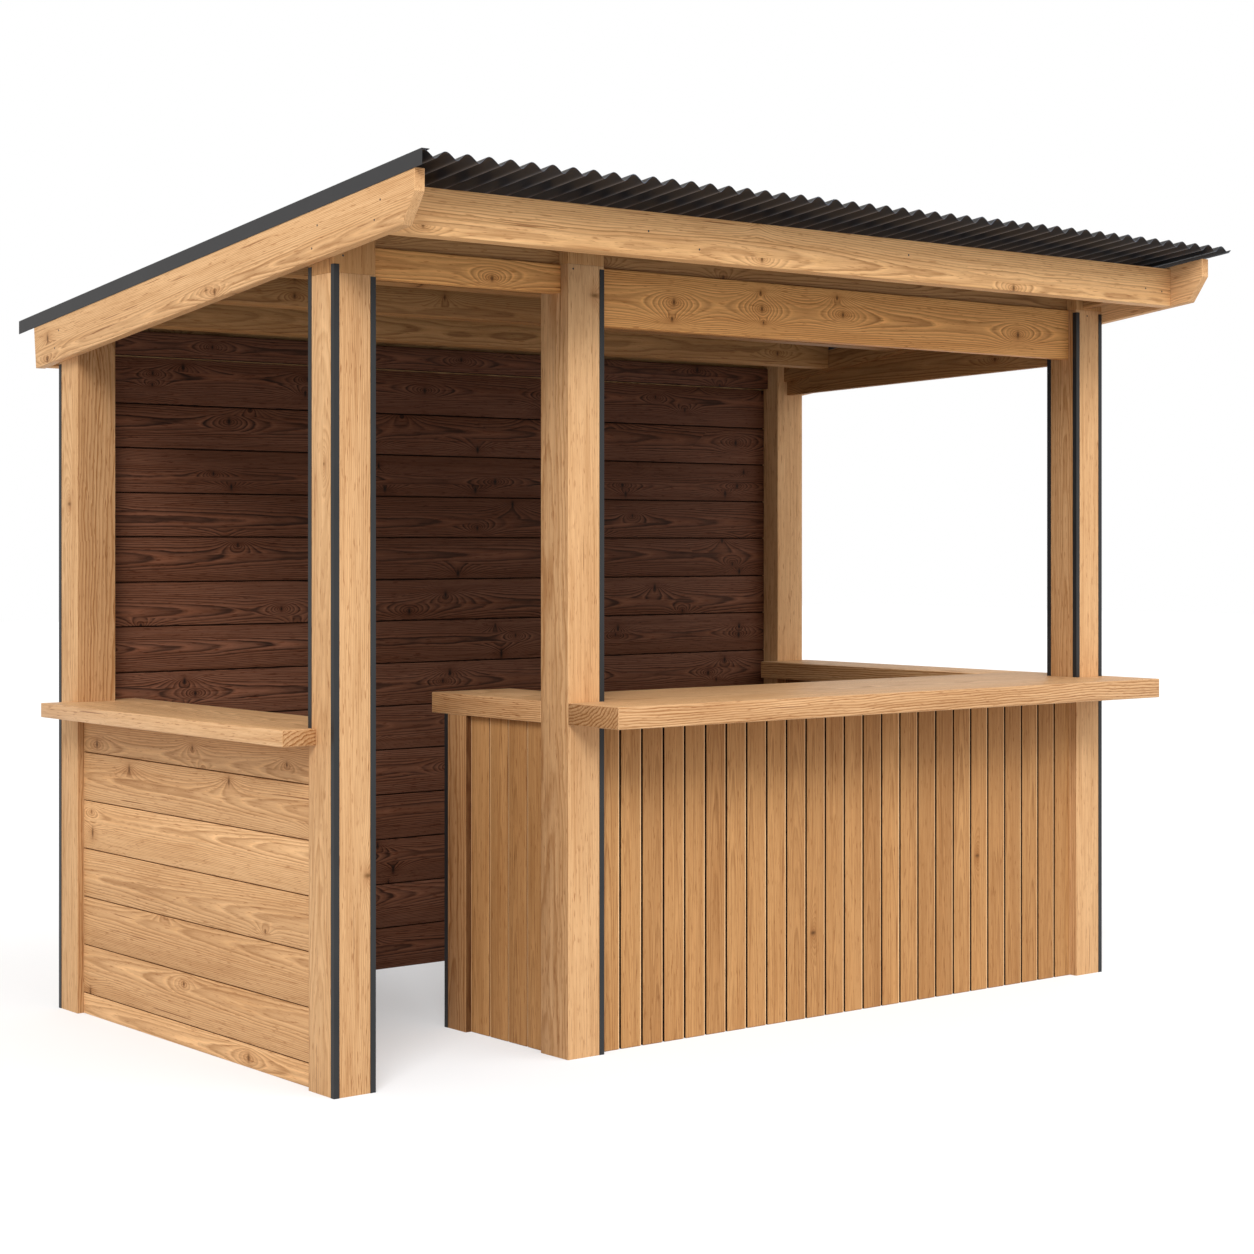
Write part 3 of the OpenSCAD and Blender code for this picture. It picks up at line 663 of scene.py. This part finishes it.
def boarded_face(name, node, joints, length, gap, deep, thick, axes, origin, finish,
                 seed, radius, pith=0.03, backing="backing", dark_sides=False):
    """A boarded face: planks with gaps between them, and their plain inner halves, which
    meet each other and carry painted shade towards the gaps. axes are the boards' run, the way
    from board to board, and outwards. Boards with dark sides carry painted shade on both edges,
    inside the rounding, and a painted highlight on one rounding."""
    rng = np.random.default_rng(seed)
    joints = np.asarray(joints)
    starts = joints[:-1] + gap / 2
    ends = joints[1:] - gap / 2
    starts[0], ends[-1] = joints[0], joints[-1]
    run, out = np.array(axes[0], float), np.array(axes[2], float)
    boards = planks(starts, ends - starts, length, deep, radius, axes,
                    np.array(origin, float) - out * deep, rng,
                    highlight_widening=HIGHLIGHT_WIDENING if dark_sides else 0.0)
    finishes = [finish, backing, "arris"] if dark_sides else [finish]
    chosen = [SIDE_FACES, HIGHLIGHT_FACES] if dark_sides else []
    mesh = boards_mesh(name, boards, axes, rng, pith, finishes, chosen)
    piece = new_piece(name, mesh, finish, [node])

    slit, inset = 0.15 * MM, MM
    starts = joints[:-1] + slit
    ends = joints[1:] - slit
    starts[0] += inset
    ends[-1] -= inset
    boards = planks(starts, ends - starts, length - 2 * inset, thick - deep, inset, axes,
                    np.array(origin, float) - out * thick + run * inset, rng)
    mesh = boards_mesh(name + "_backing", boards, axes, rng, pith, [finish, backing],
                       [OUTER_FACES])
    new_piece(name + "_backing", mesh, backing, [])
    return piece


def corrugated_sheets(name, spans, run, corner, raised, sizes, node):
    """Roof sheets between pairs of x. The underside is a wave with broad crests,
    height = wave_height * (1/2 + cos(2 pi (x - first crest) / pitch) / 2) ^ 0.75, carried
    straight down the roof; the upper side is the same wave one sheet higher."""
    cos, sin = math.cos(ROOF_ANGLE), math.sin(ROOF_ANGLE)
    rings, faces, cut, base = [], [], [], 0
    for start, end in spans:
        steps = int(round((end - start) / sizes.wave_pitch * WAVE_STEPS))
        x = np.linspace(start, end, steps + 1)
        rise = 0.5 + 0.5 * np.cos(TWO_PI * (x - FIRST_CREST) / sizes.wave_pitch)
        wave = sizes.wave_height * rise ** 0.75 + raised
        n = len(x)
        for s, lift in ((0, 0), (0, sizes.sheet), (run, 0), (run, sizes.sheet)):
            h = wave + lift
            rings.append(np.column_stack([corner[0] + x, corner[1] + s * cos + h * sin,
                                          corner[2] - s * sin + h * cos]))
        i = np.arange(n - 1)
        fl, fh, bl, bh = (base + k * n for k in range(4))
        for a, b, is_cut in ((fh, bh, 0), (bl, fl, 0), (fl, fh, 1), (bh, bl, 1)):
            faces.append(np.column_stack([a + i, a + i + 1, b + i + 1, b + i]))
            cut.append(np.full(n - 1, is_cut))
        for k, flip in ((0, 1), (n - 1, 0)):
            side = [fl + k, bl + k, bh + k, fh + k]
            faces.append(np.array([side[::-1] if flip else side]))
            cut.append(np.array([1]))
        base += 4 * n
    mesh = bpy.data.meshes.new(name)
    mesh.from_pydata(np.concatenate(rings).tolist(), [], np.concatenate(faces).tolist())
    mesh.materials.append(FINISHES["roof"])
    mesh.materials.append(FINISHES["roof_edge"])
    mesh.polygons.foreach_set("material_index", np.concatenate(cut).astype(np.int32))
    mesh.shade_smooth()
    mesh.set_sharp_from_angle(angle=math.radians(50))
    mesh.update()
    return new_piece(name, mesh, "roof", [node])


def nail_heads(name, places, outward, radius=3.4 * MM, proud=0.7 * MM, around=14):
    """Small domed nail heads: circles round each place, stepped in towards the middle,
    radius r at height proud * (1 - (r / radius)^2)."""
    out = np.array(outward, float)
    side = np.array([out[1], -out[0], 0.0])
    up = np.cross(side, out)
    turn = np.arange(around) * TWO_PI / around
    circle = np.cos(turn)[:, None] * side + np.sin(turn)[:, None] * up
    parts = np.array([1.0, 0.8, 0.45])
    points, faces = [], []
    for place in places:
        base = len(points) * (len(parts) * around + 1)
        rings = [np.array(place) + circle * radius * part + out * proud * (1 - part * part)
                 for part in parts]
        points.append(np.concatenate(rings + [(np.array(place) + out * proud)[None]]))
        i = np.arange(around)
        nxt = (i + 1) % around
        for k in range(len(parts) - 1):
            a, b = base + k * around, base + (k + 1) * around
            faces += np.column_stack([a + i, a + nxt, b + nxt, b + i]).tolist()
        last = base + (len(parts) - 1) * around
        faces += np.column_stack([last + i, last + nxt,
                                  np.full(around, base + len(parts) * around)]).tolist()
    mesh = bpy.data.meshes.new(name)
    mesh.from_pydata(np.concatenate(points).tolist(), [], faces)
    mesh.shade_smooth()
    mesh.update()
    return new_piece(name, mesh, "nail", [])


def check_piece(piece):
    """Stops the script when a piece came out empty."""
    if piece is None or not len(piece.data.polygons):
        raise RuntimeError("a piece has no faces")


# Operators


class GARDENBAR_OT_posts(bpy.types.Operator):
    """Posts, their heads and the coated strips on their corners"""
    bl_idname = "garden_bar.posts"
    bl_label = "Posts"

    def execute(self, context):
        sizes = context.scene.garden_bar_sizes
        names = ["post_front_left", "post_front_middle", "post_front_right",
                 "post_back_left", "post_back_right", "post_counter_end", "post_heads"]
        # Painted shade: the front faces of the back left and front left posts, the left faces of
        # the middle and right front posts, and the left face of the counter end post, whose front
        # face is painted almost black.
        shades = {"post_back_left": ((2, -1, 0.6),), "post_front_middle": ((1, -1, 0.3),),
                  "post_front_right": ((1, -1, 0.4),), "post_front_left": ((2, -1, 0.15),),
                  "post_counter_end": ((1, -1, 0.8), (2, -1, 2.0))}
        for i, node in enumerate(names):
            # The heads take the darker cladding finish: painted shade under the fascia.
            finish = "cladding" if node == "post_heads" else "post"
            check_piece(eased_copy(node, ALONG_Z, finish, 20 + i, sizes.ease,
                                   shade=shades.get(node, ()), darkest=0.8))
        for node in ("strips_front_left", "strips_front_middle", "strips_front_right",
                     "strips_back"):
            NODES[node].data.materials.clear()
            NODES[node].data.materials.append(FINISHES["strips"])
        return {"FINISHED"}


class GARDENBAR_OT_headers(bpy.types.Operator):
    """Headers over the entrance and the counter, the plates on them and the infill board"""
    bl_idname = "garden_bar.headers"
    bl_label = "Headers"

    def execute(self, context):
        sizes = context.scene.garden_bar_sizes
        for node, finish in (("header_entrance", "entrance"), ("header_serving", "serving")):
            check_piece(eased_copy(node, ALONG_X, finish, 40, sizes.ease, pith=0.05,
                                   centred=True))
        check_piece(eased_copy("upper_plates", ALONG_X, "roof_timber", 42, sizes.ease))
        check_piece(eased_copy("back_plate", ALONG_X, "roof_timber", 44, sizes.ease))
        check_piece(eased_copy("side_infill", ALONG_Y, "roof_timber", 48, sizes.ease))
        return {"FINISHED"}


class GARDENBAR_OT_roof_frame(bpy.types.Operator):
    """Barge boards, fascia boards, rafters and purlins"""
    bl_idname = "garden_bar.roof_frame"
    bl_label = "Roof frame"

    def execute(self, context):
        sizes = context.scene.garden_bar_sizes
        for i, node in enumerate(["barge_left", "barge_right"]):
            check_piece(eased_copy(node, DOWN_ROOF, "wall", 60 + i, sizes.ease,
                                   darkest=0.9))
        for i, node in enumerate(["fascia_board_front", "fascia_board_back"]):
            check_piece(eased_copy(node, ALONG_X, "timber", 70 + i, sizes.ease,
                                   darkest=0.9))
        check_piece(eased_copy("rafters", DOWN_ROOF, "roof_timber", 63, sizes.ease))
        check_piece(eased_copy("purlins", ALONG_X, "roof_timber", 74, sizes.ease))
        return {"FINISHED"}


class GARDENBAR_OT_roof_sheets(bpy.types.Operator):
    """Corrugated roof sheets with their side laps, and the flashing on the left verge"""
    bl_idname = "garden_bar.roof_sheets"
    bl_label = "Roof sheets"

    def execute(self, context):
        sizes = context.scene.garden_bar_sizes
        low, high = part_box("roof_sheets_under")
        crest = sizes.wave_height + sizes.sheet
        run = (high.y - low.y - crest * math.sin(ROOF_ANGLE)) / math.cos(ROOF_ANGLE)
        corner = (low.x, low.y, high.z - crest * math.cos(ROOF_ANGLE))
        width = SHEET_WAVES * sizes.wave_pitch
        count = math.ceil((high.x - low.x) / width)
        for first, node in enumerate(("roof_sheets_under", "roof_sheets_over")):
            spans = [(i * width, min(high.x - low.x, (i + 1) * width + sizes.wave_pitch))
                     for i in range(first, count, 2)]
            check_piece(corrugated_sheets(node + "_piece", spans, run, corner,
                                          first * (sizes.sheet + 0.3 * MM), sizes, node))
        NODES["verge_flashing"].data.materials.clear()
        NODES["verge_flashing"].data.materials.append(FINISHES["flashing"])
        return {"FINISHED"}


class GARDENBAR_OT_worktop(bpy.types.Operator):
    """The worktop's slabs and the side shelf"""
    bl_idname = "garden_bar.worktop"
    bl_label = "Worktop and shelf"

    def execute(self, context):
        sizes = context.scene.garden_bar_sizes
        # Painted shade on the front face of the front slab and on the left face of each return;
        # the shelf has none.
        check_piece(eased_copy("worktop_front", ALONG_X, "worktop", 80, sizes.ease,
                               pith=0.5, shade=((1, -1, 0.3),)))
        for i, (node, end_grain_and_painted_shade) in enumerate((("worktop_return_left", 0.3),
                                         ("worktop_return_right", 0.6), ("side_shelf", 0.0))):
            check_piece(eased_copy(node, ALONG_Y, "worktop", 81 + i, sizes.ease,
                                   pith=0.4, shade=((1, -1, end_grain_and_painted_shade),),
                                   darkest=max(0.65, 1 - end_grain_and_painted_shade)))
        return {"FINISHED"}


class GARDENBAR_OT_counter(bpy.types.Operator):
    """Upright boards on the counter's three sides, and the rails behind them"""
    bl_idname = "garden_bar.counter"
    bl_label = "Counter"

    def execute(self, context):
        sizes = context.scene.garden_bar_sizes
        check_piece(eased_copy("counter_rails", ALONG_X, "cladding", 90, sizes.ease))
        low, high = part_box("counter_cladding_front")
        tall = high.z - low.z
        joints = np.linspace(0, high.x - low.x, FRONT_BOARDS + 1)
        check_piece(boarded_face(
            "counter_boards_front", "counter_cladding_front", joints, tall, sizes.gap,
            COUNTER_GAP_DEPTH, high.y - low.y, ((0, 0, 1), (1, 0, 0), (0, -1, 0)),
            (low.x, low.y, low.z), "cladding", 91, sizes.board_ease,
            dark_sides=True))
        low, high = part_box("counter_cladding_left")
        joints = np.linspace(0, high.y - low.y, LEFT_BOARDS + 1)
        check_piece(boarded_face(
            "counter_boards_left", "counter_cladding_left", joints, tall, LEFT_GAP,
            LEFT_GAP_DEPTH, high.x - low.x, ((0, 0, 1), (0, 1, 0), (-1, 0, 0)),
            (low.x, low.y, low.z), "cladding", 92, sizes.board_ease,
            backing="brown_painted_shade", dark_sides=True))
        low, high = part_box("counter_cladding_right")
        joints = np.linspace(0, high.y - low.y, RIGHT_BOARDS + 1)
        check_piece(boarded_face(
            "counter_boards_right", "counter_cladding_right", joints, tall, sizes.gap,
            COUNTER_GAP_DEPTH, high.x - low.x, ((0, 0, 1), (0, 1, 0), (1, 0, 0)),
            (high.x, low.y, low.z), "cladding", 93, sizes.board_ease,
            dark_sides=True))
        return {"FINISHED"}


def wall_joints(top):
    """Joints of a light wall, counted up from the first one, with the ends of the wall."""
    between = np.arange(WALL_FIRST_JOINT, top - WALL_PITCH / 4, WALL_PITCH)
    return np.concatenate([[0.0], between, [top]])


# Heights of the joints between the dark boards, as they show through the openings.
LINING_JOINTS = (0.153, 0.317, 0.485, 0.652, 0.820, 0.984, 1.144, 1.303, 1.458, 1.616, 1.770,
                 1.926, 2.080)


class GARDENBAR_OT_walls(bpy.types.Operator):
    """Boards of the low wall and of both sides of the back wall"""
    bl_idname = "garden_bar.walls"
    bl_label = "Walls"

    def execute(self, context):
        sizes = context.scene.garden_bar_sizes
        check_piece(eased_copy("left_wall_rails", ALONG_Y, "cladding", 100, sizes.ease))
        # Painted shade on the rail's underside.
        check_piece(eased_copy("back_wall_top_rail", ALONG_X, "lining", 101, sizes.ease,
                               shade=((2, -1, 1.0),)))
        low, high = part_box("left_wall_boards")
        check_piece(boarded_face(
            "low_wall_boards", "left_wall_boards", wall_joints(high.z - low.z),
            high.y - low.y, sizes.wall_gap, WALL_GAP_DEPTH, high.x - low.x,
            ((0, 1, 0), (0, 0, 1), (-1, 0, 0)), (low.x, low.y, low.z),
            "wall", 102, sizes.board_ease, pith=0.08, backing="brown_painted_shade"))
        low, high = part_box("back_wall_boards")
        check_piece(boarded_face(
            "back_wall_outer_boards", "back_wall_boards", wall_joints(high.z - low.z),
            high.x - low.x, sizes.wall_gap, WALL_GAP_DEPTH, high.y - low.y,
            ((1, 0, 0), (0, 0, 1), (0, 1, 0)), (low.x, high.y, low.z),
            "wall", 103, sizes.board_ease, pith=0.09, backing="brown_painted_shade"))
        low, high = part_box("back_wall_lining")
        joints = [0] + [z - low.z for z in LINING_JOINTS] + [high.z - low.z]
        check_piece(boarded_face(
            "back_wall_lining_boards", "back_wall_lining", joints,
            high.x - low.x, sizes.wall_gap * 1.3, WALL_GAP_DEPTH, high.y - low.y,
            ((1, 0, 0), (0, 0, 1), (0, -1, 0)), (low.x, low.y, low.z),
            "lining", 104, sizes.board_ease, pith=0.07))
        return {"FINISHED"}


class GARDENBAR_OT_stage(bpy.types.Operator):
    """Pale floor, even light and the camera"""
    bl_idname = "garden_bar.stage"
    bl_label = "Stage"

    def execute(self, context):
        make_floor()
        make_light(context.scene)
        make_camera(context.scene)
        return {"FINISHED"}


# Nail places. On a post's head: from its left edge, and up from HEAD_RISE above the post.
# On the fascia: from its left end, and up from its middle. On the barge: from its front
# end, and down from its upper edge.
POST_NAILS = ((0.03, 0.03), (0.02, -0.035), (0.06, -0.04))
FASCIA_NAILS = ((0.9, 0.01), (1.1, -0.03), (2.0, 0.02), (3.2, -0.01), (3.29, -0.015))
BARGE_NAILS = ((0.50, 0.05), (0.53, 0.11), (0.17, 0.05), (0.2, 0.10), (2.17, 0.045), (2.2, 0.10))
HEAD_RISE = 0.02


class GARDENBAR_OT_nails(bpy.types.Operator):
    """Nail heads in the front posts, the front fascia board and the left barge board"""
    bl_idname = "garden_bar.nails"
    bl_label = "Nails"

    def execute(self, context):
        places = []
        for node, (along, up) in zip(("post_front_left", "post_front_middle",
                                      "post_front_right"), POST_NAILS):
            low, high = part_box(node)
            places.append((low.x + along, FRONT, high.z + HEAD_RISE + up))
        check_piece(nail_heads("post_nails", places, (0, -1, 0)))
        low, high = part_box("fascia_board_front")
        middle = (low.z + high.z) / 2
        places = [(low.x + along, low.y, middle + up) for along, up in FASCIA_NAILS]
        check_piece(nail_heads("fascia_nails", places, (0, -1, 0)))
        low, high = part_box("barge_left")
        places = [(low.x, low.y + along, high.z - down - along * math.tan(ROOF_ANGLE))
                  for along, down in BARGE_NAILS]
        check_piece(nail_heads("barge_nails", places, (-1, 0, 0)))
        return {"FINISHED"}


def make_floor():
    """A wide pale floor that shows white to the camera and keeps soft shadows."""
    mesh = bpy.data.meshes.new("floor")
    reach = 40.0
    mesh.from_pydata([(-reach, -reach, 0), (reach, -reach, 0), (reach, reach, 0),
                      (-reach, reach, 0)], [], [(0, 1, 2, 3)])
    floor = bpy.data.objects.new("floor", mesh)
    bpy.context.scene.collection.objects.link(floor)
    f = Finish("pale_floor")
    path = f.add("ShaderNodeLightPath")
    seen = (f.value(path, "Is Camera Ray") + f.value(path, "Is Glossy Ray")
            + f.value(path, "Is Transmission Ray")).clamp()
    base = f.add("ShaderNodeBsdfDiffuse", {}, {"Color": (0.60, 0.62, 0.65, 1.0)})
    glow = f.add("ShaderNodeEmission", {}, {"Color": (1, 1, 1, 1), "Strength": seen * 0.36})
    both = f.add("ShaderNodeAddShader", {}, {0: base.outputs[0], 1: glow.outputs[0]})
    f.tree.links.new(both.outputs[0], f.output.inputs[0])
    mesh.materials.append(f.material)


def make_light(scene):
    """A pale sky all round, and a broad soft key from the left front."""
    world = bpy.data.worlds.new("pale_sky")
    scene.world = world
    world.use_nodes = True
    tree = world.node_tree
    tree.nodes.clear()
    path = tree.nodes.new("ShaderNodeLightPath")
    sky = tree.nodes.new("ShaderNodeBackground")
    sky.inputs["Color"].default_value = (1.0, 0.94, 0.86, 1.0)
    sky.inputs["Strength"].default_value = 0.72
    shown = tree.nodes.new("ShaderNodeBackground")
    shown.inputs["Color"].default_value = (1.0, 1.0, 1.0, 1.0)
    shown.inputs["Strength"].default_value = 1.0
    rays = tree.nodes.new("ShaderNodeMath")
    rays.operation = "ADD"
    tree.links.new(path.outputs["Is Camera Ray"], rays.inputs[0])
    tree.links.new(path.outputs["Is Transmission Ray"], rays.inputs[1])
    mix = tree.nodes.new("ShaderNodeMixShader")
    out = tree.nodes.new("ShaderNodeOutputWorld")
    tree.links.new(rays.outputs[0], mix.inputs[0])
    tree.links.new(sky.outputs[0], mix.inputs[1])
    tree.links.new(shown.outputs[0], mix.inputs[2])
    tree.links.new(mix.outputs[0], out.inputs[0])
    suns = (("key", 2.15, 25, (54, 0, -42)), ("fill", 1.0, 60, (50, 0, 25)))
    for name, power, spread, aim in suns:
        lamp = bpy.data.lights.new(name, "SUN")
        lamp.energy = power
        lamp.angle = math.radians(spread)
        holder = bpy.data.objects.new(name, lamp)
        holder.rotation_euler = [math.radians(a) for a in aim]
        scene.collection.objects.link(holder)


def make_camera(scene):
    """The camera at the photograph's place: its focal length and middle in pixels, and
    where it stands from the front left post's corner, as fitted to given points."""
    focal, middle_x, middle_y = 2434.4, 621.9, 545.0
    aside, before, eye_height, turn = 3.7116, 5.9588, 1.5875, 38.6587
    lens = bpy.data.cameras.new("camera")
    lens.sensor_width = 36.0
    lens.lens = focal / IMAGE * lens.sensor_width
    lens.shift_x = (IMAGE / 2 - middle_x) / IMAGE
    lens.shift_y = (middle_y - IMAGE / 2) / IMAGE
    lens.clip_end = 200
    camera = bpy.data.objects.new("camera", lens)
    camera.location = (LEFT - aside, FRONT - before, eye_height)
    camera.rotation_euler = (math.radians(90), 0, math.radians(-turn))
    scene.collection.objects.link(camera)
    scene.camera = camera
    scene.view_settings.view_transform = "Standard"


class GARDENBAR_PT_panel(bpy.types.Panel):
    """The bar's sizes, colours and steps"""
    bl_idname = "GARDENBAR_PT_panel"
    bl_label = "Garden bar"
    bl_space_type = "VIEW_3D"
    bl_region_type = "UI"
    bl_category = "Garden bar"

    def draw(self, context):
        for group in (context.scene.garden_bar_sizes, context.scene.garden_bar_colours):
            for name in group.__annotations__:
                self.layout.prop(group, name)
        for step in STEPS:
            self.layout.operator(step.bl_idname)


STEPS = (GARDENBAR_OT_posts, GARDENBAR_OT_headers, GARDENBAR_OT_roof_frame,
         GARDENBAR_OT_roof_sheets, GARDENBAR_OT_worktop, GARDENBAR_OT_counter,
         GARDENBAR_OT_walls, GARDENBAR_OT_nails, GARDENBAR_OT_stage)
CLASSES = (GardenBarSizes, GardenBarColours) + STEPS + (GARDENBAR_PT_panel,)


def register():
    """Adds the classes and the scene's settings."""
    for cls in CLASSES:
        bpy.utils.register_class(cls)
    bpy.types.Scene.garden_bar_sizes = bpy.props.PointerProperty(type=GardenBarSizes)
    bpy.types.Scene.garden_bar_colours = bpy.props.PointerProperty(type=GardenBarColours)


def unregister():
    """Takes them away again."""
    del bpy.types.Scene.garden_bar_colours
    del bpy.types.Scene.garden_bar_sizes
    for cls in reversed(CLASSES):
        bpy.utils.unregister_class(cls)


def main():
    """Builds the whole scene."""
    register()
    make_finishes(bpy.context.scene.garden_bar_sizes, bpy.context.scene.garden_bar_colours)
    for step in STEPS:
        group, name = step.bl_idname.split(".")
        getattr(getattr(bpy.ops, group), name)()
    bpy.context.view_layer.update()


if __name__ == "__main__":
    main()
